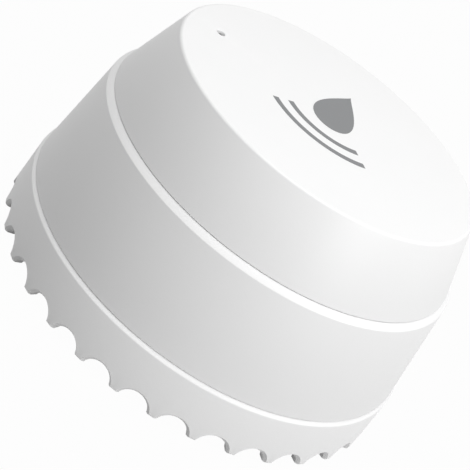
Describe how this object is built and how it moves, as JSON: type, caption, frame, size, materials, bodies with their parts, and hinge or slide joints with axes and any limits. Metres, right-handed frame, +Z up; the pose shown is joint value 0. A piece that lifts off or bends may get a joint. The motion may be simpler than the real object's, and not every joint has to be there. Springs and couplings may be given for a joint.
{
  "type": "water leak sensor",
  "caption": "Round white battery water leak sensor in three tapering tiers on a scalloped foot, with floor electrodes, sounder, radio and a twist-off upper housing.",
  "frame": {"origin": "on the floor under the centre of the round base", "axes": "+Z up along the puck's axis; +Y along the two cells; the pinhole is on the -X side"},
  "size_m": [0.064, 0.064, 0.0364],
  "materials": {
    "white_case": "fine satin moulding",
    "tray_plastic": "satin moulding",
    "board_mask": "solder mask",
    "plated_brass": "gold flash plating",
    "bright_steel": "bright nickel plating",
    "black_plastic": "fine matt",
    "clear_plastic": "clear acrylic",
    "seal_rubber": "matt silicone",
    "cell_wrap": "shrink sleeve",
    "capacitor_can": "drawn can",
    "lamp_resin": "moulded resin",
    "white_silicone": "matt silicone",
    "red_plastic": "fine satin moulding"
  },
  "bodies": {
    "base": {"base_cup": "white_case", "probe_pins": "plated_brass", "probe_gaskets": "seal_rubber", "probe_nuts": "bright_steel", "circuit_board": "board_mask", "battery_tray": "tray_plastic", "tray_screws": "bright_steel", "battery_cells": "cell_wrap", "contact_springs": "bright_steel", "terminal_plates": "bright_steel", "bridge_plate": "bright_steel", "sounder": "black_plastic", "radio_board": "board_mask", "radio_shield": "bright_steel", "control_chip": "black_plastic", "storage_capacitor": "capacitor_can", "status_led": "lamp_resin", "light_pipe": "clear_plastic", "reset_switch": "black_plastic"},
    "base_seal": {"base_seal": "seal_rubber"},
    "housing": {"middle_shell": "white_case", "top_cap": "white_case", "cap_gasket": "white_silicone", "indicator_window": "clear_plastic"},
    "reset_button": {"reset_button": "red_plastic"}
  },
  "joints": [
    {"name": "housing_turn", "type": "hinge", "parent": "base", "child": "base_seal", "pos_m": [0, 0, 0.0085], "axis": [0, 0, 1], "range_deg": [0, 180.5]},
    {"name": "housing_lift", "type": "slide", "parent": "base_seal", "child": "housing", "axis": [0, 0, 1], "range_m": [0, 0.018]},
    {"name": "reset_press", "type": "slide", "parent": "base", "child": "reset_button", "axis": [0, 0, -1], "range_m": [0, 0.0003], "stiffness_N_per_m": 2000}
  ],
  "couplings": [
    {"joint": "housing_turn", "follows": "housing_lift", "rad_per_m": 174.53}
  ]
}
